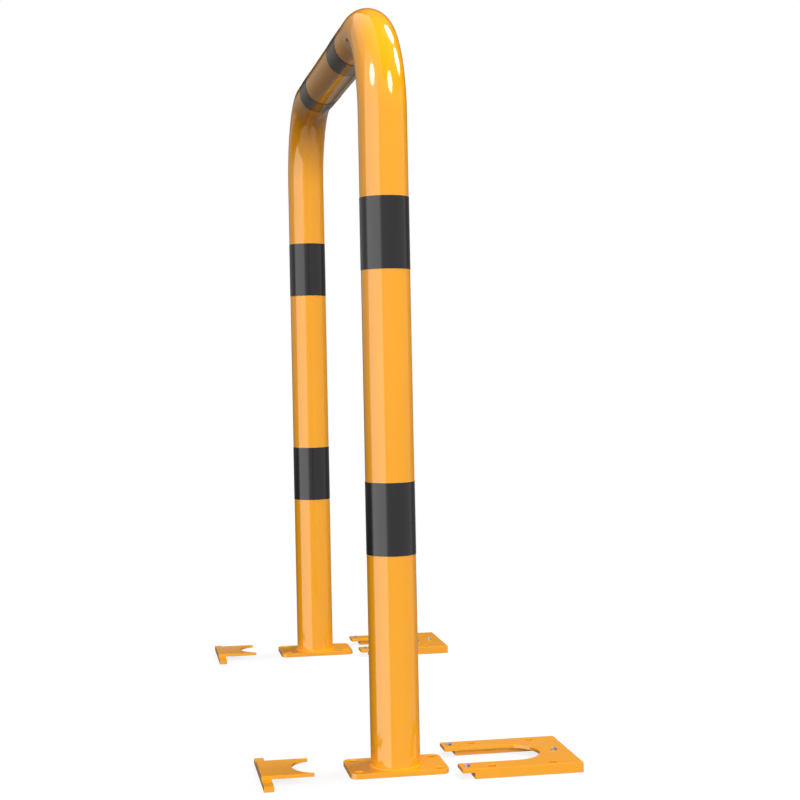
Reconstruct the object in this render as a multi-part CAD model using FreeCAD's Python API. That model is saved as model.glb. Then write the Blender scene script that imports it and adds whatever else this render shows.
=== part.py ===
import FreeCAD, Part
import math
import os

os.makedirs("parts", exist_ok=True)

# Removable hoop barrier with two floor shoes, two lock plates and six set screws.
# Millimetres, +Z up. X runs across the hoop, +Y is the way it slides into its shoes.
# The set is laid out for fitting: shoes ahead of the hoop, lock plates behind it.

V = FreeCAD.Vector
UP = V(0, 0, 1)

# Hoop
hoop_height = 1200.0
hoop_width = 1000.0
tube_dia = 76.0
tube_wall = 3.0
bend_radius = 158.0

# Base plates under the posts
base_length = 152.0
base_width = 88.0
base_thickness = 8.0
base_corner = 12.0
base_hole_dia = 14.0
base_hole_end_inset = 14.0
base_hole_side_inset = 11.0

# Fillet weld round each foot
weld_leg = 3.0
weld_crown = 0.4

# Black film bands
band_thickness = 0.3
band_glue = 0.05
post_band_width = 111.0
lower_band_bottom = 331.0
upper_band_bottom = 766.0
top_band_width = 93.0
top_band_offset = 188.0

# Floor shoes
shoe_top_thickness = 6.0
shoe_rim_width = 27.0
shoe_end_wall = 15.0
shoe_tip_lip = 3.4
pocket_corner = 6.0
anchor_hole_dia = 12.0
anchor_pitch = 95.0

# Lock plates
lock_thickness = 5.5
lock_side_wall = 1.1
lock_bar_depth = 15.0
horn_setback = 12.0

# Set screws with a cone point and a hexagon socket
screw_dia = 8.0
screw_length = 10.0
screw_point_flat = 2.0
screw_point_height = 2.0
screw_chamfer = 0.6
socket_across_flats = 4.0
socket_depth = 4.0
end_screw_inset = 6.0

# Clearances
notch_gap = 0.9
lock_side_gap = 1.5
lift_gap = 0.3
bar_head_gap = 1.0
bar_end_gap = 0.6
rim_end_gap = 0.5
base_side_gap = 9.0
base_end_gap = 1.0
screw_side_gap = 0.25
screw_point_gap = 0.3

# Edge breaks on the cut plates
edge_break = 0.6

# Distances from the fitted place, as the set is laid out
shoe_rest = 182.0
lock_rest = 119.0

# Derived sizes, measured from a post's centre line with the shoe and lock closed on it
tube_r = tube_dia / 2
post_x = (hoop_width - tube_dia) / 2
top_z = hoop_height - tube_r
weld_r = tube_r + weld_leg
notch_r = weld_r + notch_gap
lock_half = notch_r + lock_side_wall
slot_r = lock_half + lock_side_gap
pocket_half = base_width / 2 + base_side_gap
shoe_half = pocket_half + shoe_rim_width
bar_height = base_thickness + lift_gap
lock_top = bar_height + lock_thickness
rim_height = bar_height + bar_head_gap
shoe_height = rim_height + shoe_top_thickness
bar_inner_y = -(base_length / 2 + bar_end_gap)
bar_outer_y = bar_inner_y - lock_bar_depth
rim_start_y = bar_inner_y + rim_end_gap
arm_tip_y = bar_outer_y - shoe_tip_lip
pocket_end_y = base_length / 2 + base_end_gap
shoe_end_y = pocket_end_y + shoe_end_wall
anchor_x = pocket_half + shoe_rim_width / 2
arm_screw_x = (slot_r + shoe_half) / 2
arm_screw_y = (bar_inner_y + bar_outer_y) / 2
end_screw_y = base_length / 2 - end_screw_inset
screw_hole_r = screw_dia / 2 + screw_side_gap
screw_bottom = bar_height + screw_point_gap
band_r = tube_r + band_glue

# The origin is on the floor in the middle of the laid-out set
set_front_y = bar_outer_y - lock_rest
set_back_y = shoe_end_y + shoe_rest
hoop_y = -(set_front_y + set_back_y) / 2


def outline(points, arcs=()):
    """Close a plan outline at floor level; arcs maps a start index to a mid point."""
    mids = dict(arcs)
    corners = [V(x, y, 0) for x, y in points]
    edges = []
    for i, start in enumerate(corners):
        end = corners[(i + 1) % len(corners)]
        if i in mids:
            mid = V(mids[i][0], mids[i][1], 0)
            edges.append(Part.Arc(start, mid, end).toShape())
        else:
            edges.append(Part.makeLine(start, end))
    return Part.Face(Part.Wire(edges))


def rectangle(half_x, y0, y1):
    """Plan rectangle centred on the post in X."""
    return outline([(-half_x, y0), (half_x, y0), (half_x, y1), (-half_x, y1)])


def slab(face, z0, z1):
    """Raise a plan face from z0 to z1."""
    return face.extrude(V(0, 0, z1 - z0)).translated(V(0, 0, z0))


def upright_edges(solid, keep):
    """Straight vertical edges whose plan place passes the keep test."""
    found = []
    for edge in solid.Edges:
        a, b = edge.Vertexes[0].Point, edge.Vertexes[-1].Point
        if abs(a.x - b.x) + abs(a.y - b.y) < 1e-6 and keep(a):
            found.append(edge)
    return found


def rim_edges(solid, z):
    """Edges of the outline at height z, without the small drilled holes."""
    found = []
    for edge in solid.Edges:
        box = edge.BoundBox
        if abs(box.ZMin - z) > 1e-6 or abs(box.ZMax - z) > 1e-6:
            continue
        if edge.Closed:
            continue
        found.append(edge)
    return found


def drill(solid, places, radius, z0, z1):
    """Drill upright holes at the given plan places."""
    for x, y in places:
        solid = solid.cut(Part.makeCylinder(radius, z1 - z0, V(x, y, z0)))
    return solid


def corners_of(x, y):
    """The four places of a pattern centred on the post."""
    return [(sx * x, sy * y) for sx in (-1, 1) for sy in (-1, 1)]


def hoop_path():
    """Centre line from foot to foot, with a bend at each upper corner."""
    straight_x = post_x - bend_radius
    straight_z = top_z - bend_radius
    reach = bend_radius * math.sqrt(0.5)
    foot = base_thickness
    edges = []
    edges.append(Part.makeLine(V(post_x, 0, foot), V(post_x, 0, straight_z)))
    right_mid = V(straight_x + reach, 0, straight_z + reach)
    edges.append(Part.Arc(V(post_x, 0, straight_z), right_mid, V(straight_x, 0, top_z)).toShape())
    edges.append(Part.makeLine(V(straight_x, 0, top_z), V(-straight_x, 0, top_z)))
    left_mid = V(-straight_x - reach, 0, straight_z + reach)
    edges.append(Part.Arc(V(-straight_x, 0, top_z), left_mid, V(-post_x, 0, straight_z)).toShape())
    edges.append(Part.makeLine(V(-post_x, 0, straight_z), V(-post_x, 0, foot)))
    return Part.Wire(edges)


def hoop_tube():
    """The bent tube, hollow from foot to foot."""
    path = hoop_path()
    foot = V(post_x, 0, base_thickness)
    skins = []
    for radius in (tube_r, tube_r - tube_wall):
        ring = Part.Wire(Part.makeCircle(radius, foot, UP))
        skins.append(path.makePipeShell([ring], True, False))
    return skins[0].cut(skins[1])


def base_plate():
    """Flat plate with round corners and four holes."""
    half_y = base_length / 2
    plate = slab(rectangle(base_width / 2, -half_y, half_y), 0, base_thickness)
    plate = plate.makeFillet(base_corner, upright_edges(plate, lambda p: True))
    hole_x = base_width / 2 - base_hole_side_inset
    hole_y = base_length / 2 - base_hole_end_inset
    plate = plate.makeChamfer(edge_break, rim_edges(plate, base_thickness))
    return drill(plate, corners_of(hole_x, hole_y), base_hole_dia / 2, 0, base_thickness)


def weld_bead():
    """Ring of weld metal in the corner between tube and plate."""
    low = V(weld_r, 0, base_thickness)
    high = V(tube_r, 0, base_thickness + weld_leg)
    root = V(tube_r, 0, base_thickness)
    bulge = weld_leg / 2 + weld_crown * math.sqrt(0.5)
    crown = V(tube_r + bulge, 0, base_thickness + bulge)
    edges = [Part.makeLine(root, low), Part.Arc(low, crown, high).toShape(), Part.makeLine(high, root)]
    return Part.Face(Part.Wire(edges)).revolve(V(0, 0, 0), UP, 360)


def film_band(width, start, axis):
    """Sleeve of film round the tube, from start along axis."""
    outer = Part.makeCylinder(band_r + band_thickness, width, start, axis)
    return outer.cut(Part.makeCylinder(band_r, width, start, axis))


def floor_shoe():
    """Slotted top plate in one with a rim round a pocket that is open below and in front."""
    shape = outline(
        [
            (-shoe_half, arm_tip_y),
            (-slot_r, arm_tip_y),
            (-slot_r, 0),
            (slot_r, 0),
            (slot_r, arm_tip_y),
            (shoe_half, arm_tip_y),
            (shoe_half, shoe_end_y),
            (-shoe_half, shoe_end_y),
        ],
        [(2, (0, slot_r))],
    )
    shoe = slab(shape, 0, shoe_height)
    shoe = shoe.makeChamfer(edge_break, rim_edges(shoe, shoe_height))
    pocket = slab(rectangle(pocket_half, arm_tip_y, pocket_end_y), 0, rim_height)
    inner = upright_edges(pocket, lambda p: p.y > 0)
    shoe = shoe.cut(pocket.makeFillet(pocket_corner, inner))
    shoe = shoe.cut(slab(rectangle(shoe_half, arm_tip_y, rim_start_y), 0, rim_height))
    shoe = drill(shoe, corners_of(anchor_x, anchor_pitch / 2), anchor_hole_dia / 2, 0, shoe_height)
    return drill(shoe, screw_places().values(), screw_hole_r, rim_height, shoe_height)


def lock_plate():
    """Plate that fills the slot up to the tube, on a cross bar that fits under the arms."""
    horn_half = math.sqrt(notch_r ** 2 - horn_setback ** 2)
    shape = outline(
        [
            (-lock_half, bar_outer_y),
            (lock_half, bar_outer_y),
            (lock_half, -horn_setback),
            (horn_half, -horn_setback),
            (-horn_half, -horn_setback),
            (-lock_half, -horn_setback),
        ],
        [(3, (0, -notch_r))],
    )
    plate = slab(shape, bar_height, lock_top)
    plate = plate.makeChamfer(edge_break, rim_edges(plate, lock_top))
    bar = slab(rectangle(shoe_half, bar_outer_y, bar_inner_y), 0, bar_height)
    return plate.fuse(bar).removeSplitter()


def screw_places():
    """Plan places of the three set screws in a shoe, by name."""
    return {
        "outer": (arm_screw_x, arm_screw_y),
        "inner": (-arm_screw_x, arm_screw_y),
        "end": (0, end_screw_y),
    }


def set_screw():
    """Headless screw on its point, with a hexagon socket in its upper end."""
    r = screw_dia / 2
    flat = screw_point_flat / 2
    top = screw_length
    profile = [
        V(0, 0, 0),
        V(flat, 0, 0),
        V(r, 0, screw_point_height),
        V(r, 0, top - screw_chamfer),
        V(r - screw_chamfer, 0, top),
        V(0, 0, top),
        V(0, 0, 0),
    ]
    body = Part.Face(Part.makePolygon(profile)).revolve(V(0, 0, 0), UP, 360)
    corner_r = socket_across_flats / math.sqrt(3)
    hexagon = [
        V(corner_r * math.cos(math.radians(a)), corner_r * math.sin(math.radians(a)), top - socket_depth)
        for a in range(0, 361, 60)
    ]
    socket = Part.Face(Part.makePolygon(hexagon)).extrude(V(0, 0, socket_depth))
    return body.cut(socket)


def export(name, shape, place=V(0, 0, 0)):
    """Put a piece in its place in the set and write it as its own file."""
    shape = shape.translated(place + V(0, hoop_y, 0))
    if len(shape.Solids) != 1 or not shape.isValid():
        raise ValueError(name + " is not one sound solid")
    shape.Solids[0].exportStep("parts/" + name + ".step")


export("hoop_tube", hoop_tube())
for side, sign in (("right", 1), ("left", -1)):
    post = V(sign * post_x, 0, 0)
    shoe_place = post + V(0, shoe_rest, 0)
    export(side + "_base_plate", base_plate(), post)
    export(side + "_weld_bead", weld_bead(), post)
    export(side + "_lower_band", film_band(post_band_width, V(0, 0, lower_band_bottom), UP), post)
    export(side + "_upper_band", film_band(post_band_width, V(0, 0, upper_band_bottom), UP), post)
    top_start = V(sign * top_band_offset - top_band_width / 2, 0, top_z)
    export(side + "_top_band", film_band(top_band_width, top_start, V(1, 0, 0)))
    export(side + "_floor_shoe", floor_shoe(), shoe_place)
    export(side + "_lock_plate", lock_plate(), post + V(0, -lock_rest, 0))
    for name, (x, y) in screw_places().items():
        screw_place = shoe_place + V(sign * x, y, screw_bottom)
        export(side + "_" + name + "_set_screw", set_screw(), screw_place)
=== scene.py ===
import logging
import math
from dataclasses import dataclass
from enum import Enum
from typing import Callable, Optional

import bmesh
import bpy
from mathutils import Matrix, Vector


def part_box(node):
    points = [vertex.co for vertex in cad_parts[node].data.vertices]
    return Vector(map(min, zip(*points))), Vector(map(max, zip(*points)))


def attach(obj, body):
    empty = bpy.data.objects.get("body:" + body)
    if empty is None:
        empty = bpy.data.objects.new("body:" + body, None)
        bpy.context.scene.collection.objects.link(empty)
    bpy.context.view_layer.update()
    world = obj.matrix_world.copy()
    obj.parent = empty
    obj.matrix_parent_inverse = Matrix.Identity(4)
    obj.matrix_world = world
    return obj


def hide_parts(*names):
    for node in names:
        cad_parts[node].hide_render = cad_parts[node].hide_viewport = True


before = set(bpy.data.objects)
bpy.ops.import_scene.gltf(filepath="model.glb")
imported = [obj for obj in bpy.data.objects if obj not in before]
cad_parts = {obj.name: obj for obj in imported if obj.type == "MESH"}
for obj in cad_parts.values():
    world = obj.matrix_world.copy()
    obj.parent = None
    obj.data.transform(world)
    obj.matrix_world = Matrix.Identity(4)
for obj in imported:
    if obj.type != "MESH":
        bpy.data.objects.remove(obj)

Piece = bpy.types.Object
Material = bpy.types.Material

LOG = logging.getLogger("hoop_barrier")
MM = 0.001
SLOT_SIDES = 96
DOUBLES = 0.001 * MM
SMOOTH_ANGLE = math.radians(40)
QUARTER_TURN = math.radians(90)
NORMAL_WEIGHT = 80
# A face looks along an axis where its normal's part along that axis is above this.
FACING = 0.9
# Sockets of a colour Mix node, whose names repeat: its inputs, and then its output.
MIX_SHARE, MIX_FIRST, MIX_SECOND, MIX_COLOUR = 0, 6, 7, 2
IMAGE_SIDE_PX = 800
WHITE = (1.0, 1.0, 1.0, 1.0)


class Side(Enum):
    """The two posts of the hoop, with the sign of their X."""

    RIGHT = 1
    LEFT = -1

    @property
    def word(self) -> str:
        """The side's name as the nodes spell it."""
        return self.name.lower()


class Slot(Enum):
    """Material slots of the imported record."""

    COATING = "yellow_coating"
    FILM = "black_film"
    STEEL = "screw_steel"


class Pick(Enum):
    """What is selected in edit mode."""

    POINTS = "VERT"
    EDGES = "EDGE"
    FACES = "FACE"


class Cut(Enum):
    """What a tool body does to a piece."""

    REMOVE = "DIFFERENCE"
    KEEP = "INTERSECT"


# ---- finishes


def linear(code: str) -> tuple[float, float, float, float]:
    """Turn an sRGB hex colour into linear RGBA.

    Args:
        code: colour as "#RRGGBB".

    Returns:
        Linear red, green, blue and an alpha of one.
    """
    parts = [int(code[i:i + 2], 16) / 255 for i in (1, 3, 5)]
    flat = [c / 12.92 if c <= 0.04045 else ((c + 0.055) / 1.055) ** 2.4 for c in parts]
    return (flat[0], flat[1], flat[2], 1.0)


def add_node(tree: bpy.types.NodeTree, kind: str, inputs: Optional[dict] = None,
             **settings: object) -> bpy.types.Node:
    """Add a node, set it up and link its inputs.

    Args:
        tree: node tree to add to.
        kind: Blender's node type.
        inputs: input name or index to a value, or to a socket to link from.
        settings: node properties to set.

    Returns:
        The new node.
    """
    node = tree.nodes.new(kind)
    for key, value in settings.items():
        setattr(node, key, value)
    for key, value in (inputs or {}).items():
        if isinstance(value, bpy.types.NodeSocket):
            tree.links.new(value, node.inputs[key])
        else:
            node.inputs[key].default_value = value
    return node


def per_metre(size_mm: float) -> float:
    """Texture scale that makes a pattern repeat about every size_mm."""
    return 1.0 / (size_mm * MM)


def new_material(name: str) -> tuple[Material, bpy.types.NodeTree]:
    """Make a node material with nothing in it.

    Args:
        name: the real material's name.

    Returns:
        The material and its node tree.
    """
    material = bpy.data.materials.new(name)
    material.use_nodes = True
    material.node_tree.nodes.clear()
    return material, material.node_tree


def add_surface(tree: bpy.types.NodeTree, relief: bpy.types.NodeSocket, height_mm: float,
                inputs: dict) -> None:
    """Close a material with a shader that has a fine relief.

    Args:
        tree: the material's node tree.
        relief: socket with the relief, from zero to one.
        height_mm: height of the relief.
        inputs: the shader's other inputs, as add_node takes them.
    """
    bump = add_node(tree, "ShaderNodeBump", {"Height": relief, "Strength": 1.0,
                                             "Distance": height_mm * MM})
    shader = add_node(tree, "ShaderNodeBsdfPrincipled",
                      {**inputs, "Normal": bump.outputs["Normal"]})
    add_node(tree, "ShaderNodeOutputMaterial", {"Surface": shader.outputs["BSDF"]})


@dataclass(frozen=True)
class GlossCoating:
    """Baked polyester coating on steel: smooth, hard and glossy, with a faint orange peel."""

    # The powder flows out in the oven to a clear skin over deep yellow, so the eye gets sharp
    # white highlights on a warm body colour, and long reflections that waver a little.
    # The real peel is nearer 1.5 mm; it is drawn at 3.5 mm so that the waver shows.
    name: str = "polyester_coated_steel"
    colour: str = "#F6A60C"
    thick_colour: str = "#F3A00A"
    roughness: float = 0.07
    roughness_worn: float = 0.11
    ior: float = 1.5
    peel_mm: float = 3.5
    peel_height_mm: float = 0.004
    cloud_mm: float = 90.0

    def build(self) -> Material:
        """Make the coating's material.

        Returns:
            The finished material.
        """
        material, tree = new_material(self.name)
        where = add_node(tree, "ShaderNodeTexCoord").outputs["Object"]
        cloud = add_node(tree, "ShaderNodeTexNoise",
                         {"Vector": where, "Scale": per_metre(self.cloud_mm), "Detail": 3.0})
        tint = add_node(tree, "ShaderNodeMix",
                        {MIX_SHARE: cloud.outputs["Fac"], MIX_FIRST: linear(self.colour),
                         MIX_SECOND: linear(self.thick_colour)}, data_type="RGBA")
        rough = add_node(tree, "ShaderNodeMapRange", {"Value": cloud.outputs["Fac"],
                                                      "To Min": self.roughness,
                                                      "To Max": self.roughness_worn})
        peel = add_node(tree, "ShaderNodeTexNoise",
                        {"Vector": where, "Scale": per_metre(self.peel_mm), "Detail": 1.0})
        add_surface(tree, peel.outputs["Fac"], self.peel_height_mm,
                    {"Base Color": tint.outputs[MIX_COLOUR],
                     "Roughness": rough.outputs["Result"], "IOR": self.ior})
        return material


@dataclass(frozen=True)
class BandFilm:
    """Cast vinyl film, near black and satin, with a fine grain from its backing."""

    # Soft plastic spreads a reflection into a grey sheen, so the eye gets a black that greys
    # where it faces the light and has no sharp highlight.
    # The real grain is nearer 0.1 mm; it is drawn at 1.2 mm so that it shows.
    name: str = "black_vinyl_film"
    colour: str = "#161518"
    faded: str = "#1B1A1D"
    roughness: float = 0.2
    ior: float = 1.43
    grain_mm: float = 1.2
    grain_height_mm: float = 0.006
    cloud_mm: float = 45.0

    def build(self) -> Material:
        """Make the film's material.

        Returns:
            The finished material.
        """
        material, tree = new_material(self.name)
        where = add_node(tree, "ShaderNodeTexCoord").outputs["Object"]
        cloud = add_node(tree, "ShaderNodeTexNoise",
                         {"Vector": where, "Scale": per_metre(self.cloud_mm), "Detail": 2.0})
        tint = add_node(tree, "ShaderNodeMix",
                        {MIX_SHARE: cloud.outputs["Fac"], MIX_FIRST: linear(self.colour),
                         MIX_SECOND: linear(self.faded)}, data_type="RGBA")
        grain = add_node(tree, "ShaderNodeTexNoise",
                         {"Vector": where, "Scale": per_metre(self.grain_mm), "Detail": 2.0})
        add_surface(tree, grain.outputs["Fac"], self.grain_height_mm,
                    {"Base Color": tint.outputs[MIX_COLOUR],
                     "Roughness": self.roughness, "IOR": self.ior})
        return material


@dataclass(frozen=True)
class ScrewSteel:
    """Plain hardened steel, turned and oiled: grey metal with fine turning marks."""

    # Bare metal mirrors its surroundings in grey, and the oil dulls it in patches, so the eye
    # gets dark flanks with bright crests.
    # The real marks are nearer 0.1 mm; they are drawn at 0.35 mm so that they show.
    name: str = "turned_hardened_steel"
    colour: str = "#C8C8CA"
    oiled: str = "#ACACAF"
    roughness: float = 0.28
    roughness_dull: float = 0.42
    mark_mm: float = 0.35
    mark_height_mm: float = 0.01
    oil_mm: float = 3.0

    def build(self) -> Material:
        """Make the screws' material.

        Returns:
            The finished material.
        """
        material, tree = new_material(self.name)
        where = add_node(tree, "ShaderNodeTexCoord").outputs["Object"]
        oil = add_node(tree, "ShaderNodeTexNoise",
                       {"Vector": where, "Scale": per_metre(self.oil_mm), "Detail": 3.0})
        tint = add_node(tree, "ShaderNodeMix",
                        {MIX_SHARE: oil.outputs["Fac"], MIX_FIRST: linear(self.colour),
                         MIX_SECOND: linear(self.oiled)}, data_type="RGBA")
        rough = add_node(tree, "ShaderNodeMapRange", {"Value": oil.outputs["Fac"],
                                                      "To Min": self.roughness,
                                                      "To Max": self.roughness_dull})
        marks = add_node(tree, "ShaderNodeTexWave",
                         {"Vector": where, "Scale": per_metre(self.mark_mm) / math.tau,
                          "Distortion": 1.5}, bands_direction="Z")
        add_surface(tree, marks.outputs["Fac"], self.mark_height_mm,
                    {"Base Color": tint.outputs[MIX_COLOUR],
                     "Roughness": rough.outputs["Result"], "Metallic": 1.0})
        return material


# ---- work bench


def enter_edit() -> None:
    """Open the active piece in edit mode."""
    bpy.ops.object.mode_set(mode="EDIT")


def leave_edit() -> None:
    """Go back to object mode."""
    bpy.ops.object.mode_set(mode="OBJECT")


def clear_selection() -> None:
    """Deselect every object, in object mode."""
    if bpy.context.mode != "OBJECT":
        leave_edit()
    bpy.ops.object.select_all(action="DESELECT")


def take(piece: Piece) -> None:
    """Make a piece the only selected and active object.

    Args:
        piece: the piece.
    """
    clear_selection()
    piece.select_set(True)
    bpy.context.view_layer.objects.active = piece


def named(name: str) -> Piece:
    """Name the object that an operator has just added.

    Args:
        name: name for the object and its mesh.

    Returns:
        The object.
    """
    piece = bpy.context.active_object
    piece.name = name
    piece.data.name = name
    return piece


def placed(name: str) -> Piece:
    """Name the object that an operator has just added, with its place in its mesh.

    Args:
        name: name for the object and its mesh.

    Returns:
        The object, at the origin.
    """
    piece = named(name)
    bpy.ops.object.transform_apply()
    return piece


def block(name: str, low: Vector, high: Vector) -> Piece:
    """Add a box between two corners.

    Args:
        name: name of the new object.
        low: lowest corner.
        high: highest corner.

    Returns:
        The box, with its place in its mesh.
    """
    clear_selection()
    bpy.ops.mesh.primitive_cube_add(size=1.0, location=(low + high) / 2, scale=high - low)
    return placed(name)


def rod(name: str, centre: Vector, radius: float, low: float, high: float,
        sides: int = 64) -> Piece:
    """Add an upright cylinder.

    Args:
        name: name of the new object.
        centre: point on the axis.
        radius: radius.
        low: height of its lower end.
        high: height of its upper end.
        sides: number of sides.

    Returns:
        The cylinder, with its place in its mesh.
    """
    clear_selection()
    place = (centre.x, centre.y, (low + high) / 2)
    bpy.ops.mesh.primitive_cylinder_add(vertices=sides, radius=radius, depth=high - low,
                                        location=place)
    return placed(name)


def open_all(piece: Piece) -> None:
    """Enter edit mode with every edge of a piece selected.

    Args:
        piece: the piece.
    """
    take(piece)
    enter_edit()
    bpy.ops.mesh.select_mode(type="EDGE")
    bpy.ops.mesh.select_all(action="SELECT")


def pick(piece: Piece, what: Pick, test: Callable[..., bool]) -> None:
    """Select the points, edges or faces of a piece in edit mode that pass a test.

    Args:
        piece: the piece that is open in edit mode.
        what: points, edges or faces.
        test: takes a point's place, an edge's two ends, or a face's middle and normal.
    """
    bpy.ops.mesh.select_mode(type=what.value)
    bpy.ops.mesh.select_all(action="DESELECT")
    shape = bmesh.from_edit_mesh(piece.data)
    if what is Pick.POINTS:
        for point in shape.verts:
            point.select = test(point.co)
    elif what is Pick.EDGES:
        for edge in shape.edges:
            edge.select = test(edge.verts[0].co, edge.verts[1].co)
    else:
        for face in shape.faces:
            face.select = test(face.calc_center_median(), face.normal)
    shape.select_flush_mode()
    bmesh.update_edit_mesh(piece.data)


def pull(reach: Vector) -> None:
    """Extrude what is selected in edit mode straight on."""
    bpy.ops.mesh.extrude_region_move(TRANSFORM_OT_translate={"value": reach})


def split(place: Vector, normal: Vector) -> None:
    """Cut new edges into the piece in edit mode where a plane meets it."""
    bpy.ops.mesh.select_all(action="SELECT")
    bpy.ops.mesh.bisect(plane_co=place, plane_no=normal)


def cut_off(height: float, below: bool) -> None:
    """Cut away one end of the piece in edit mode and close the cut.

    Args:
        height: height of the cut.
        below: True to drop what lies below it, False what lies above.
    """
    bpy.ops.mesh.select_all(action="SELECT")
    bpy.ops.mesh.bisect(plane_co=(0, 0, height), plane_no=(0, 0, 1), use_fill=True,
                        clear_inner=below, clear_outer=not below)


def use_modifier(piece: Piece, kind: str, **settings: object) -> None:
    """Add a modifier to a piece and apply it at once.

    Args:
        piece: the piece.
        kind: Blender's modifier type.
        settings: modifier properties to set.
    """
    take(piece)
    modifier = piece.modifiers.new(kind.lower(), kind)
    for key, value in settings.items():
        setattr(modifier, key, value)
    bpy.ops.object.modifier_apply(modifier=modifier.name)


def work(piece: Piece, tools: list[Piece], how: Cut) -> None:
    """Cut or trim a piece with tool bodies in one go, and throw the tools away.

    Args:
        piece: the piece.
        tools: the tool bodies, which may reach into each other.
        how: what the tools do to the piece.
    """
    take(tools[0])
    for tool in tools[1:]:
        tool.select_set(True)
    bpy.ops.object.join()
    use_modifier(piece, "BOOLEAN", object=tools[0], operation=how.value, solver="EXACT",
                 use_self=len(tools) > 1)
    bpy.data.objects.remove(tools[0])


def ease_edges(piece: Piece, width: float, steps: int = 3) -> None:
    """Round the sharp edges of a piece and shade it smoothly.

    Args:
        piece: the piece.
        width: width of the rounding.
        steps: number of strips in it.
    """
    use_modifier(piece, "BEVEL", width=width, segments=steps, limit_method="ANGLE",
                 angle_limit=SMOOTH_ANGLE, use_clamp_overlap=True)
    take(piece)
    bpy.ops.object.shade_smooth_by_angle(angle=SMOOTH_ANGLE)
    use_modifier(piece, "WEIGHTED_NORMAL", keep_sharp=True, weight=NORMAL_WEIGHT)


def close_up(piece: Piece, least: float = DOUBLES) -> None:
    """Merge doubled points, drop slivers and turn all faces outwards.

    Args:
        piece: the piece.
        least: length below which an edge is no edge.
    """
    open_all(piece)
    bpy.ops.mesh.remove_doubles(threshold=least)
    bpy.ops.mesh.dissolve_degenerate(threshold=least)
    bpy.ops.mesh.normals_make_consistent(inside=False)
    leave_edit()


def copy_to(piece: Piece, name: str, shift: Vector) -> Piece:
    """Copy a piece with a mesh of its own.

    Args:
        piece: the piece to copy.
        name: name of the copy.
        shift: how far the copy is moved, within its mesh.

    Returns:
        The copy.
    """
    twin = piece.copy()
    twin.data = piece.data.copy()
    twin.name = name
    twin.data.name = name
    twin.data.transform(Matrix.Translation(shift))
    bpy.context.scene.collection.objects.link(twin)
    return twin


def dress(piece: Piece, material: Material, body: str,
          node: str) -> None:
    """Give a piece its finish, its body and the node it stands for.

    Args:
        piece: finished piece at the origin.
        material: its finish.
        body: body that it rides on.
        node: node that it replaces.
    """
    piece.data.materials.clear()
    piece.data.materials.append(material)
    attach(piece, body)
    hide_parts(node)
    LOG.info("%s: %d faces, rides on %s", piece.name, len(piece.data.polygons), body)


# ---- the hoop


@dataclass
class Hoop:
    """The bent tube with its film bands, base plates and welds."""

    coating: Material
    weld_coating: Material
    film: Material
    bend_radius: float = 158 * MM
    wall: float = 3 * MM
    film_thickness: float = 0.3 * MM
    sides: int = 128
    bend_steps: int = 40
    body: str = "hoop"

    def __post_init__(self) -> None:
        """Read the tube's place from the frame."""
        low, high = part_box("hoop_tube")
        self.radius = (high.y - low.y) / 2
        self.plane_y = (high.y + low.y) / 2
        self.post_x = high.x - self.radius
        self.foot = low.z
        self.top = high.z - self.radius
        self.round_pieces: list[Piece] = []

    def post(self, side: Side) -> Vector:
        """Point where a post's centre line meets the floor."""
        return Vector((side.value * self.post_x, self.plane_y, 0))

    def build(self) -> None:
        """Make and dress every piece of the hoop."""
        self.build_tube()
        for side in Side:
            BasePlate(self.coating).build(side)
            WeldBead(self.weld_coating, self.radius).build(side)
            for level in ("lower", "upper"):
                self.build_band(f"{side.word}_{level}_band", upright=True)
            self.build_band(f"{side.word}_top_band", upright=False)

    def build_tube(self) -> None:
        """Draw the tube from foot to foot: post, bend, top bar, bend and post."""
        straight_x = self.post_x - self.bend_radius
        straight_z = self.top - self.bend_radius
        clear_selection()
        bpy.ops.mesh.primitive_circle_add(vertices=self.sides, radius=self.radius,
                                          location=(self.post_x, self.plane_y, self.foot))
        tube = placed("hoop_tube_skin")
        open_all(tube)
        rise = straight_z - self.foot
        pull(Vector((0, 0, rise)))
        self.turn(Vector((straight_x, self.plane_y, straight_z)))
        pull(Vector((-2 * straight_x, 0, 0)))
        self.turn(Vector((-straight_x, self.plane_y, straight_z)))
        pull(Vector((0, 0, -rise)))
        leave_edit()
        close_up(tube)
        use_modifier(tube, "SOLIDIFY", thickness=self.wall, offset=-1.0, use_even_offset=True)
        take(tube)
        bpy.ops.object.shade_smooth_by_angle(angle=SMOOTH_ANGLE)
        dress(tube, self.coating, self.body, "hoop_tube")
        self.round_pieces.append(tube)

    def turn(self, centre: Vector) -> None:
        """Bend the open end of the tube a quarter turn about a centre."""
        bpy.ops.mesh.spin(steps=self.bend_steps, angle=QUARTER_TURN, center=centre, axis=(0, 1, 0))

    def build_band(self, node: str, upright: bool) -> None:
        """Wrap one film band round the tube.

        Args:
            node: node that the band stands for.
            upright: True on a post, False on the top bar.
        """
        low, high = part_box(node)
        middle = (low + high) / 2
        outer = (high.y - low.y) / 2
        reach = Vector((0, 0, high.z - low.z)) if upright else Vector((high.x - low.x, 0, 0))
        turn = (0, 0, 0) if upright else (0, QUARTER_TURN, 0)
        clear_selection()
        bpy.ops.mesh.primitive_circle_add(vertices=self.sides, radius=outer,
                                          location=middle - reach / 2, rotation=turn)
        band = placed(f"{node}_film")
        open_all(band)
        pull(reach)
        leave_edit()
        close_up(band)
        use_modifier(band, "SOLIDIFY", thickness=self.film_thickness, offset=-1.0)
        take(band)
        bpy.ops.object.shade_smooth_by_angle(angle=SMOOTH_ANGLE)
        dress(band, self.film, self.body, node)
        self.round_pieces.append(band)


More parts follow.
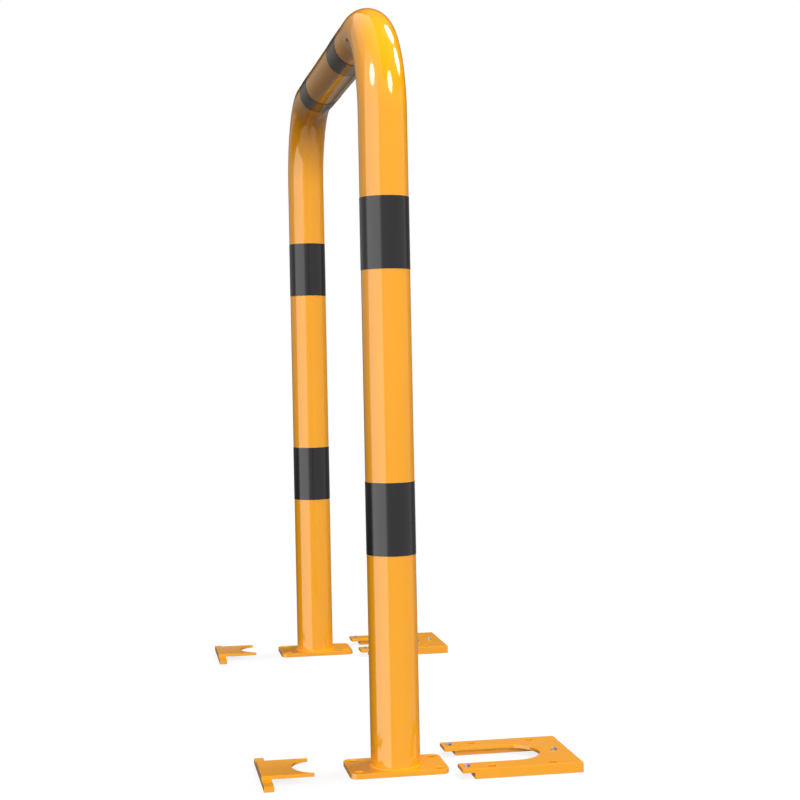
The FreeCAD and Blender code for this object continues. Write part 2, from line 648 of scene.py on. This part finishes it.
@dataclass
class BasePlate:
    """Plate under a post, with round corners and four holes."""

    coating: Material
    corner: float = 12 * MM
    corner_steps: int = 10
    hole_radius: float = 7 * MM
    end_inset: float = 14 * MM
    side_inset: float = 11 * MM
    hole_rim: float = 1.5 * MM
    hole_sides: int = 48
    edge: float = 0.9 * MM

    def build(self, side: Side) -> None:
        """Make and dress the plate of one post.

        Args:
            side: which post.
        """
        node = f"{side.word}_base_plate"
        low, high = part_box(node)
        plate = block(f"{node}_coated", low, high)
        enter_edit()
        pick(plate, Pick.EDGES, lambda a, b: abs(a.z - b.z) > (high.z - low.z) / 2)
        bpy.ops.mesh.bevel(offset=self.corner, segments=self.corner_steps, affect="EDGES")
        leave_edit()
        drills = [self.drill(Vector((x, y, 0)), low.z, high.z)
                  for x in (low.x + self.side_inset, high.x - self.side_inset)
                  for y in (low.y + self.end_inset, high.y - self.end_inset)]
        work(plate, drills, Cut.REMOVE)
        ease_edges(plate, self.edge)
        dress(plate, self.coating, "hoop", node)

    def drill(self, place: Vector, low: float, high: float) -> Piece:
        """Make the tool body of one hole with a slightly countersunk rim.

        Args:
            place: point on the hole's axis.
            low: height of the plate's underside.
            high: height of its top.

        Returns:
            The tool body.
        """
        tool = rod("drill", place, self.hole_radius, low - self.corner, high - self.hole_rim,
                   self.hole_sides)
        enter_edit()
        pick(tool, Pick.POINTS, lambda p: p.z > low)
        bpy.ops.mesh.select_mode(type="FACE")
        pull(Vector((0, 0, 2 * self.hole_rim)))
        wider = 1 + 2 * self.hole_rim / self.hole_radius
        bpy.ops.transform.resize(value=(wider, wider, 1), center_override=place)
        leave_edit()
        return tool


@dataclass
class WeldBead:
    """Ring of weld in the corner between post and plate."""

    coating: Material
    tube_radius: float
    bead: float = 2.5 * MM
    root: float = 0.4 * MM
    scale_size: float = 3.2 * MM
    scale_height: float = 0.5 * MM
    ring_steps: int = 360
    bead_steps: int = 20
    core_sides: int = 128

    def build(self, side: Side) -> None:
        """Make and dress the weld of one post.

        Args:
            side: which post.
        """
        node = f"{side.word}_weld_bead"
        low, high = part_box(node)
        middle = (low + high) / 2
        clear_selection()
        bpy.ops.mesh.primitive_torus_add(major_segments=self.ring_steps,
                                         minor_segments=self.bead_steps,
                                         major_radius=self.tube_radius + self.root,
                                         minor_radius=self.bead,
                                         location=(middle.x, middle.y, low.z + self.root))
        bead = placed(f"{node}_coated")
        scales = bpy.data.textures.new(f"{node}_scales", "CLOUDS")
        scales.noise_scale = self.scale_size
        use_modifier(bead, "DISPLACE", texture=scales, texture_coords="LOCAL", mid_level=0.5,
                     strength=self.scale_height)
        open_all(bead)
        cut_off(low.z, below=True)
        leave_edit()
        core = rod("core", middle, self.tube_radius, low.z - self.bead, high.z + self.bead,
                   self.core_sides)
        work(bead, [core], Cut.REMOVE)
        close_up(bead)
        bpy.ops.object.shade_smooth_by_angle(angle=SMOOTH_ANGLE)
        dress(bead, self.coating, "hoop", node)


# ---- floor pieces


def slot_tool(name: str, centre: Vector, radius: float, reach: float, low: float,
              high: float) -> Piece:
    """Make a tool body for a slot with one round end.

    Args:
        name: name of the tool.
        centre: centre of the round end.
        radius: half the slot's width.
        reach: how far the slot runs from there towards -Y.
        low: height of the tool's lower end.
        high: height of its upper end.

    Returns:
        The tool body.
    """
    tool = rod(name, centre, radius, low, high, SLOT_SIDES)
    enter_edit()
    pick(tool, Pick.POINTS, lambda p: p.y < centre.y - DOUBLES)
    bpy.ops.transform.resize(value=(1, 0, 1), center_override=centre)
    bpy.ops.transform.translate(value=(0, -reach, 0))
    leave_edit()
    return tool


@dataclass
class FloorShoe:
    """Slotted plate with a rim round a pocket, open below and towards -Y."""

    coating: Material
    slot_radius: float = 44.5 * MM
    arm_reach: float = 95 * MM
    rim_width: float = 27 * MM
    rim_height: float = 9.3 * MM
    rim_setback: float = 18.9 * MM
    end_wall: float = 15 * MM
    pocket_corner: float = 6 * MM
    corner_steps: int = 6
    anchor_pitch: float = 95 * MM
    anchor_radius: float = 6 * MM
    screw_hole_radius: float = 4.25 * MM
    hole_sides: int = 48
    over: float = 20 * MM
    edge: float = 0.8 * MM
    body: str = "floor_shoes"

    def build(self) -> None:
        """Make the right shoe, copy it to the left and dress both."""
        low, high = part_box("right_floor_shoe")
        right = self.shape("right_floor_shoe_coated", low, high)
        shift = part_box("left_floor_shoe")[0] - low
        left = copy_to(right, "left_floor_shoe_coated", shift)
        dress(right, self.coating, self.body, "right_floor_shoe")
        dress(left, self.coating, self.body, "left_floor_shoe")

    def shape(self, name: str, low: Vector, high: Vector) -> Piece:
        """Cut a shoe from a solid block.

        Args:
            name: name of the piece.
            low: lowest corner of the shoe.
            high: highest corner.

        Returns:
            The finished mesh.
        """
        centre = Vector(((low.x + high.x) / 2, low.y + self.arm_reach, low.z))
        under, above = low.z - 2 * self.over, high.z + self.over
        shoe = block(name, low, high)
        tools = [self.pocket(low, high),
                 slot_tool("slot", centre, self.slot_radius, self.arm_reach + 2 * self.over,
                           under, above)]
        for x in (low.x + self.rim_width / 2, high.x - self.rim_width / 2):
            for y in (-self.anchor_pitch / 2, self.anchor_pitch / 2):
                place = Vector((x, centre.y + y, 0))
                tools.append(rod("drill", place, self.anchor_radius, under, above,
                                 self.hole_sides))
        for word in ("outer", "inner", "end"):
            screw_low, screw_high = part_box(f"right_{word}_set_screw")
            place = (screw_low + screw_high) / 2
            tools.append(rod("drill", place, self.screw_hole_radius, under, above,
                             self.hole_sides))
        work(shoe, tools, Cut.REMOVE)
        ease_edges(shoe, self.edge)
        return shoe

    def pocket(self, low: Vector, high: Vector) -> Piece:
        """Make the tool body of the pocket, wide open at the front and round in its far corners.

        Args:
            low: lowest corner of the shoe.
            high: highest corner.

        Returns:
            The tool body.
        """
        tool = block("pocket", Vector((low.x + self.rim_width, low.y - self.over,
                                       low.z - self.over)),
                     Vector((high.x - self.rim_width, high.y - self.end_wall,
                             low.z + self.rim_height)))
        enter_edit()
        front = low.y + self.rim_setback
        split(Vector((0, front, 0)), Vector((0, 1, 0)))
        for side in Side:
            pick(tool, Pick.FACES, lambda c, n: n.x * side.value > FACING and c.y < front)
            pull(Vector((side.value * (self.rim_width + self.over), 0, 0)))
        pick(tool, Pick.EDGES, lambda a, b: abs(a.z - b.z) > self.rim_height and a.y > front + MM)
        bpy.ops.mesh.bevel(offset=self.pocket_corner, segments=self.corner_steps, affect="EDGES")
        leave_edit()
        return tool


@dataclass
class LockPlate:
    """Plate with a round notch for the post, on a wider cross bar."""

    coating: Material
    half_width: float = 43 * MM
    thickness: float = 5.5 * MM
    bar_depth: float = 15 * MM
    notch_radius: float = 41.9 * MM
    notch_sides: int = 160
    horn_setback: float = 12 * MM
    over: float = 20 * MM
    edge: float = 0.7 * MM

    def build(self) -> None:
        """Make the right plate, copy it to the left and dress both."""
        low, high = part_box("right_lock_plate")
        right = self.shape("right_lock_plate_coated", low, high)
        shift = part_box("left_lock_plate")[0] - low
        left = copy_to(right, "left_lock_plate_coated", shift)
        dress(right, self.coating, "right_lock", "right_lock_plate")
        dress(left, self.coating, "left_lock", "left_lock_plate")

    def shape(self, name: str, low: Vector, high: Vector) -> Piece:
        """Build a lock plate from its plate and bar.

        Args:
            name: name of the piece.
            low: lowest corner.
            high: highest corner.

        Returns:
            The finished mesh.
        """
        middle_x = (low.x + high.x) / 2
        bar_top = high.z - self.thickness
        lock = block(name, low, Vector((high.x, low.y + self.bar_depth, bar_top)))
        enter_edit()
        for side in Side:
            split(Vector((middle_x + side.value * self.half_width, 0, 0)), Vector((1, 0, 0)))
        pick(lock, Pick.FACES, lambda c, n: n.z > FACING and abs(c.x - middle_x) < self.half_width)
        pull(Vector((0, 0, self.thickness)))
        pick(lock, Pick.FACES, lambda c, n: n.y > FACING and c.z > bar_top)
        pull(Vector((0, high.y - low.y - self.bar_depth, 0)))
        leave_edit()
        notch = rod("notch", Vector((middle_x, high.y + self.horn_setback, 0)), self.notch_radius,
                    low.z - self.over, high.z + self.over, self.notch_sides)
        work(lock, [notch], Cut.REMOVE)
        ease_edges(lock, self.edge)
        return lock


@dataclass
class SetScrew:
    """Headless screw with a thread, a cone point and a hexagon socket."""

    steel: Material
    pitch: float = 1.25 * MM
    thread_depth: float = 0.6 * MM
    point_flat: float = 1.0 * MM
    point_height: float = 2.0 * MM
    chamfer: float = 0.6 * MM
    socket_flats: float = 4.0 * MM
    socket_depth: float = 4.0 * MM
    socket_sides: int = 6
    sides: int = 40
    spare_turns: int = 2
    crest_angle: float = math.radians(35)
    least_edge: float = 0.02 * MM
    clearance: float = 0.05 * MM

    def build(self) -> list[Piece]:
        """Make one screw, copy it to every hole and dress them all.

        Returns:
            The screws.
        """
        screws = []
        low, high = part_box("right_outer_set_screw")
        first = self.shape("right_outer_set_screw_steel", low, high)
        for side in Side:
            for word in ("outer", "inner", "end"):
                node = f"{side.word}_{word}_set_screw"
                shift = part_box(node)[0] - low
                screw = first
                if shift.length > MM:
                    screw = copy_to(first, f"{node}_steel", shift)
                dress(screw, self.steel, f"{side.word}_{word}_screw", node)
                screws.append(screw)
        return screws

    def shape(self, name: str, low: Vector, high: Vector) -> Piece:
        """Cut a screw from a threaded bar.

        Args:
            name: name of the piece.
            low: lowest corner of the screw.
            high: highest corner.

        Returns:
            The finished mesh.
        """
        middle = (low + high) / 2
        radius = (high.x - low.x) / 2
        screw = self.threaded_bar(name, middle, radius, low.z, high.z)
        trim = self.envelope(middle, radius + self.clearance, low.z, high.z)
        work(screw, [trim], Cut.KEEP)
        socket = rod("socket", middle, self.socket_flats / math.sqrt(3),
                     high.z - self.socket_depth, high.z + self.socket_depth,
                     self.socket_sides)
        work(screw, [socket], Cut.REMOVE)
        close_up(screw, self.least_edge)
        bpy.ops.object.shade_smooth_by_angle(angle=self.crest_angle)
        return screw

    def threaded_bar(self, name: str, middle: Vector, radius: float, low: float,
                     high: float) -> Piece:
        """Wind one tooth round the axis into a bar that is longer than the screw.

        Args:
            name: name of the piece.
            middle: point on the screw's axis.
            radius: radius over the thread.
            low: height of the screw's point.
            high: height of its upper end.

        Returns:
            The threaded bar.
        """
        root = radius - self.thread_depth
        clear_selection()
        # A triangle whose tip points to +X and whose far side stands on the root of the thread.
        bpy.ops.mesh.primitive_circle_add(
            vertices=3, radius=1.0, rotation=(-QUARTER_TURN, -QUARTER_TURN, 0),
            location=(root + self.thread_depth / 3, 0, 0))
        bar = named(name)
        bar.scale = (self.pitch / math.sqrt(3), self.thread_depth / 1.5, 1)
        bpy.ops.object.transform_apply()
        enter_edit()
        pick(bar, Pick.EDGES, lambda a, b: max(a.x, b.x) < root + self.thread_depth / 2)
        bpy.ops.mesh.delete(type="EDGE")
        leave_edit()
        use_modifier(bar, "SCREW", axis="Z", screw_offset=self.pitch,
                     iterations=math.ceil((high - low) / self.pitch) + 2 * self.spare_turns,
                     steps=self.sides, render_steps=self.sides, use_merge_vertices=True,
                     merge_threshold=DOUBLES)
        open_all(bar)
        start = low - self.spare_turns * self.pitch
        bpy.ops.transform.translate(value=(middle.x, middle.y, start))
        cut_off(low - self.pitch / 2, below=True)
        cut_off(high + self.pitch / 2, below=False)
        leave_edit()
        close_up(bar)
        return bar

    def envelope(self, middle: Vector, radius: float, low: float, high: float) -> Piece:
        """Turn the body that trims the bar to its point and its chamfered end.

        Args:
            middle: point on the screw's axis.
            radius: radius just clear of the thread.
            low: height of the screw's point.
            high: height of its upper end.

        Returns:
            The tool body.
        """
        tool = rod("envelope", middle, radius, low, high, self.sides)
        enter_edit()
        pick(tool, Pick.POINTS, lambda p: p.z < low + MM)
        bpy.ops.transform.translate(value=(0, 0, self.point_height))
        bpy.ops.mesh.select_mode(type="FACE")
        pull(Vector((0, 0, -self.point_height)))
        ratio = self.point_flat / radius
        bpy.ops.transform.resize(value=(ratio, ratio, 1), center_override=middle)
        pick(tool, Pick.EDGES, lambda a, b: min(a.z, b.z) > high - DOUBLES)
        bpy.ops.mesh.bevel(offset=self.chamfer, segments=1, affect="EDGES")
        leave_edit()
        close_up(tool)
        return tool


# ---- studio


@dataclass(frozen=True)
class Direction:
    """A direction out from the set: azimuth from +X towards +Y, and elevation, in degrees."""

    azimuth: float
    elevation: float

    def vector(self) -> Vector:
        """Turn the two angles into a vector.

        Returns:
            Unit vector of the direction.
        """
        turn, rise = math.radians(self.azimuth), math.radians(self.elevation)
        return Vector((math.cos(turn) * math.cos(rise), math.sin(turn) * math.cos(rise),
                       math.sin(rise)))


@dataclass(frozen=True)
class ShineLamp:
    """Round lamp for a few pieces: their gloss mirrors it, or else it lights their body colour."""

    name: str
    where: Direction
    span: float = 19.0
    radiance: float = 19.0
    distance: float = 3.0
    mirrored: bool = True

    def build(self, aim: Vector, pieces: list[Piece]) -> None:
        """Hang the lamp so that it faces a point.

        Args:
            aim: point that the lamp faces.
            pieces: the pieces that the lamp shines on.
        """
        light = bpy.data.lights.new(self.name, "AREA")
        light.shape = "DISK"
        light.size = 2 * self.distance * math.tan(math.radians(self.span / 2))
        light.energy = self.radiance * math.pi * math.pi * (light.size / 2) ** 2
        way = self.where.vector()
        lamp = bpy.data.objects.new(self.name, light)
        lamp.location = aim + way * self.distance
        lamp.rotation_euler = (-way).to_track_quat("-Z", "Y").to_euler()
        lamp.visible_camera = False
        lamp.visible_diffuse, lamp.visible_glossy = not self.mirrored, self.mirrored
        lit = bpy.data.collections.new(f"lit_by_{self.name}")
        for piece in pieces:
            lit.objects.link(piece)
        lamp.light_linking.receiver_collection = lit
        bpy.context.scene.collection.objects.link(lamp)


@dataclass(frozen=True)
class FillLamp:
    """Far soft lamp that lights all of the set alike and isn't mirrored."""

    name: str
    where: Direction
    span: float
    level: float

    def build(self) -> None:
        """Hang the lamp far away; a level of one lights a facing white sheet to white."""
        light = bpy.data.lights.new(self.name, "SUN")
        light.angle = math.radians(self.span)
        light.energy = self.level * math.pi
        lamp = bpy.data.objects.new(self.name, light)
        lamp.rotation_euler = (-self.where.vector()).to_track_quat("-Z", "Y").to_euler()
        lamp.visible_glossy = False
        bpy.context.scene.collection.objects.link(lamp)


@dataclass(frozen=True)
class Glow:
    """Plain light of a card that only the gloss mirrors, with a level low down and one high up."""

    name: str
    level: float
    high_level: float
    start: float = 0.0
    end: float = 1.0
    colour: str = "#FFFFFF"

    def put_on(self, card: Piece) -> None:
        """Light a card and hide it from all but mirrored rays.

        Args:
            card: the card, with its place in its mesh.
        """
        material, tree = new_material(f"{self.name}_light")
        where = add_node(tree, "ShaderNodeTexCoord").outputs["Object"]
        axes = add_node(tree, "ShaderNodeSeparateXYZ", {0: where})
        level = add_node(tree, "ShaderNodeMapRange",
                         {"Value": axes.outputs["Z"], "From Min": self.start,
                          "From Max": self.end, "To Min": self.level, "To Max": self.high_level})
        light = add_node(tree, "ShaderNodeEmission", {"Color": linear(self.colour),
                                                      "Strength": level.outputs["Result"]})
        add_node(tree, "ShaderNodeOutputMaterial", {"Surface": light.outputs[0]})
        card.data.materials.append(material)
        card.visible_camera = card.visible_diffuse = card.visible_shadow = False


@dataclass(frozen=True)
class Screen:
    """Upright curved card round the set, between two azimuths in degrees."""

    glow: Glow
    start: float
    end: float
    low: float = -5.0
    high: float = 8.0
    radius: float = 5.0
    sides: int = 180
    slack: float = 0.5

    def build(self) -> None:
        """Make the card from part of a ring and light it."""
        clear_selection()
        bpy.ops.mesh.primitive_circle_add(vertices=self.sides, radius=self.radius,
                                          location=(0, 0, self.low))
        card = placed(self.glow.name)
        enter_edit()
        pick(card, Pick.POINTS, lambda p: not self.spans(math.degrees(math.atan2(p.y, p.x)) % 360))
        bpy.ops.mesh.delete(type="VERT")
        open_all(card)
        pull(Vector((0, 0, self.high - self.low)))
        leave_edit()
        self.glow.put_on(card)

    def spans(self, azimuth: float) -> bool:
        """Whether the card reaches over an azimuth."""
        return self.start - self.slack < azimuth < self.end + self.slack


@dataclass
class Studio:
    """White floor and surroundings, cards for the gloss to mirror, lamps and the camera."""

    hoop: Hoop
    screws: list[Piece]
    fill: float = 0.41
    floor_side: float = 60.0
    floor_glow: float = 0.82
    floor_near: float = 0.9
    floor_far: float = 2.6
    floor_bounce: float = 0.09
    canopy: Glow = Glow("dark_canopy", 0.18, 0.18)
    canopy_high: float = 4.5
    canopy_reach: float = 9.0
    window: Glow = Glow("left_window", 3.6, 1.0, 1.5, 12.0)
    window_azimuth: float = -64.0
    window_distance: float = 6.0
    window_wide: float = 71.0
    window_low: float = -4.0
    window_high: float = 12.0
    screens: tuple[Screen, ...] = (
        Screen(Glow("back_screen", 0.24, 0.03, 1.4, 2.0), 100, 186),
        Screen(Glow("middle_screen", 0.18, 0.36, 0.6, 2.0, "#FFF5E8"), 186, 204, high=4.4),
        Screen(Glow("left_screen", 0.08, 0.62, -0.2, 0.9), 204, 260, high=4.4),
        Screen(Glow("pale_card", 0.60, 0.10, 0.0, 0.7, "#FFEBD0"), 164, 178, low=-0.5, high=0.9,
               radius=4.9),
    )
    bend_lamps: tuple[ShineLamp, ...] = (
        ShineLamp("left_lamp", Direction(-58, 38), 20.0),
        ShineLamp("front_lamp", Direction(37, 34), 20.0),
        ShineLamp("back_lamp", Direction(124, 48), 17.0),
        ShineLamp("right_lamp", Direction(104, 34), 17.0),
        ShineLamp("bend_fill", Direction(70, 40), 40.0, 3.2, 0.8, mirrored=False),
    )
    screw_lamp: ShineLamp = ShineLamp("screw_lamp", Direction(170, 45), 80.0, 1.3)
    fill_lamps: tuple[FillLamp, ...] = (
        FillLamp("front_fill", Direction(-9, 17), 50.0, 0.93),
        FillLamp("right_fill", Direction(102, 66), 20.0, 0.63),
    )

    def build(self) -> None:
        """Set up the floor, the light and the camera."""
        bpy.context.scene.view_settings.view_transform = "Standard"
        self.build_world()
        self.build_floor()
        self.build_canopy()
        self.build_window()
        for screen in self.screens:
            screen.build()
        aim = self.hoop.post(Side.RIGHT)
        aim.z = self.hoop.top - self.hoop.bend_radius / 2
        # Each of these lamps shines on one kind of piece alone, so the flat plates get no glare.
        for lamp in self.bend_lamps:
            lamp.build(aim, self.hoop.round_pieces)
        self.screw_lamp.build(Vector((0, self.hoop.plane_y, 0)), self.screws)
        for lamp in self.fill_lamps:
            lamp.build()
        PhotoCamera(self.hoop).build()

    @staticmethod
    def seen_rays(tree: bpy.types.NodeTree) -> bpy.types.NodeSocket:
        """One for rays that see the background: camera, glossy and transmission rays.

        Args:
            tree: node tree to add to.

        Returns:
            The socket that holds it.
        """
        path = add_node(tree, "ShaderNodeLightPath")
        first = add_node(tree, "ShaderNodeMath", {0: path.outputs["Is Camera Ray"],
                                                  1: path.outputs["Is Glossy Ray"]},
                         operation="MAXIMUM")
        both = add_node(tree, "ShaderNodeMath", {0: first.outputs[0],
                                                 1: path.outputs["Is Transmission Ray"]},
                        operation="MAXIMUM")
        return both.outputs[0]

    def build_world(self) -> None:
        """White surroundings where they are seen, and a plain fill light."""
        world = bpy.data.worlds.new("white_studio")
        world.use_nodes = True
        tree = world.node_tree
        tree.nodes.clear()
        level = add_node(tree, "ShaderNodeMapRange", {"Value": self.seen_rays(tree),
                                                      "To Min": self.fill, "To Max": 1.0})
        shade = add_node(tree, "ShaderNodeBackground", {"Color": WHITE,
                                                        "Strength": level.outputs["Result"]})
        add_node(tree, "ShaderNodeOutputWorld", {"Surface": shade.outputs["Background"]})
        bpy.context.scene.world = world

    def build_floor(self) -> None:
        """Pale floor that keeps the shadow of the set."""
        clear_selection()
        bpy.ops.mesh.primitive_plane_add(size=self.floor_side)
        floor = named("studio_floor")
        material, tree = new_material("white_studio_floor")
        seen = self.seen_rays(tree)
        pale = add_node(tree, "ShaderNodeMapRange", {"Value": seen, "To Min": self.floor_bounce,
                                                     "To Max": 1.0})
        matt = add_node(tree, "ShaderNodeBsdfDiffuse", {"Color": pale.outputs["Result"]})
        glow = add_node(tree, "ShaderNodeEmission", {"Color": WHITE})
        where = add_node(tree, "ShaderNodeTexCoord").outputs["Object"]
        away = add_node(tree, "ShaderNodeVectorMath", {0: where}, operation="LENGTH")
        lit = add_node(tree, "ShaderNodeMapRange", {"Value": away.outputs["Value"],
                                                    "From Min": self.floor_near,
                                                    "From Max": self.floor_far,
                                                    "To Min": self.floor_glow, "To Max": 1.0})
        share = add_node(tree, "ShaderNodeMath", {0: seen, 1: lit.outputs["Result"]},
                         operation="MULTIPLY")
        mix = add_node(tree, "ShaderNodeMixShader", {0: share.outputs[0], 1: matt.outputs[0],
                                                     2: glow.outputs[0]})
        add_node(tree, "ShaderNodeOutputMaterial", {"Surface": mix.outputs[0]})
        floor.data.materials.append(material)
        floor.visible_glossy = False

    def build_canopy(self) -> None:
        """Dark canopy over the right of the set."""
        clear_selection()
        bpy.ops.mesh.primitive_plane_add(size=self.canopy_reach,
                                         location=(0, self.canopy_reach / 2, self.canopy_high))
        card = placed(self.canopy.name)
        self.canopy.put_on(card)

    def build_window(self) -> None:
        """Tall bright window on the camera's left, dimmer upwards."""
        turn = math.radians(self.window_azimuth)
        away = Vector((math.cos(turn), math.sin(turn), 0)) * self.window_distance
        place = self.hoop.post(Side.RIGHT) + away
        place.z = (self.window_low + self.window_high) / 2
        wide = 2 * self.window_distance * math.tan(math.radians(self.window_wide / 2))
        clear_selection()
        bpy.ops.mesh.primitive_plane_add(size=1.0, location=place,
                                         rotation=(QUARTER_TURN, 0, turn + QUARTER_TURN))
        card = named(self.window.name)
        card.scale = (wide, self.window_high - self.window_low, 1)
        bpy.ops.object.transform_apply()
        self.window.put_on(card)


@dataclass
class PhotoCamera:
    """Camera at the photograph's place, level and slightly rolled, with its angles in radians."""

    hoop: Hoop
    place: Vector = Vector((2693.1, -411.9, 634.0)) * MM
    yaw: float = 0.1506
    roll: float = -0.0204
    focal_px: float = 1477.8
    sensor_mm: float = 36.0
    centre_px: tuple[float, float] = (340.0, 356.9)

    def build(self) -> None:
        """Make the camera and set it as the scene's."""
        ahead = Vector((-math.cos(self.yaw), math.sin(self.yaw), 0))
        right = ahead.cross(Vector((0, 0, 1)))
        up = right.cross(ahead)
        across = right * math.cos(self.roll) + up * math.sin(self.roll)
        upright = up * math.cos(self.roll) - right * math.sin(self.roll)
        data = bpy.data.cameras.new("photo_camera")
        data.sensor_width = self.sensor_mm
        data.lens = self.focal_px * self.sensor_mm / IMAGE_SIDE_PX
        data.shift_x = 0.5 - self.centre_px[0] / IMAGE_SIDE_PX
        data.shift_y = self.centre_px[1] / IMAGE_SIDE_PX - 0.5
        camera = bpy.data.objects.new("photo_camera", data)
        spin = Matrix((across, upright, -ahead)).transposed().to_4x4()
        place = self.place + Vector((0, self.hoop.plane_y, 0))
        camera.matrix_world = Matrix.Translation(place) @ spin
        bpy.context.scene.collection.objects.link(camera)
        bpy.context.scene.camera = camera


def main() -> None:
    """Build the set in order."""
    logging.basicConfig(level=logging.INFO, format="%(name)s: %(message)s")
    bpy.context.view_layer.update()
    coating = GlossCoating().build()
    # The coat lies unevenly over the ripples of a weld, so the eye gets a soft sheen there.
    weld_coating = GlossCoating("polyester_coated_weld", roughness=0.4,
                                roughness_worn=0.5).build()
    film = BandFilm().build()
    steel = ScrewSteel().build()
    hoop = Hoop(coating, weld_coating, film)
    hoop.build()
    FloorShoe(coating).build()
    LockPlate(coating).build()
    screws = SetScrew(steel).build()
    Studio(hoop, screws).build()


if __name__ == "__main__":
    main()
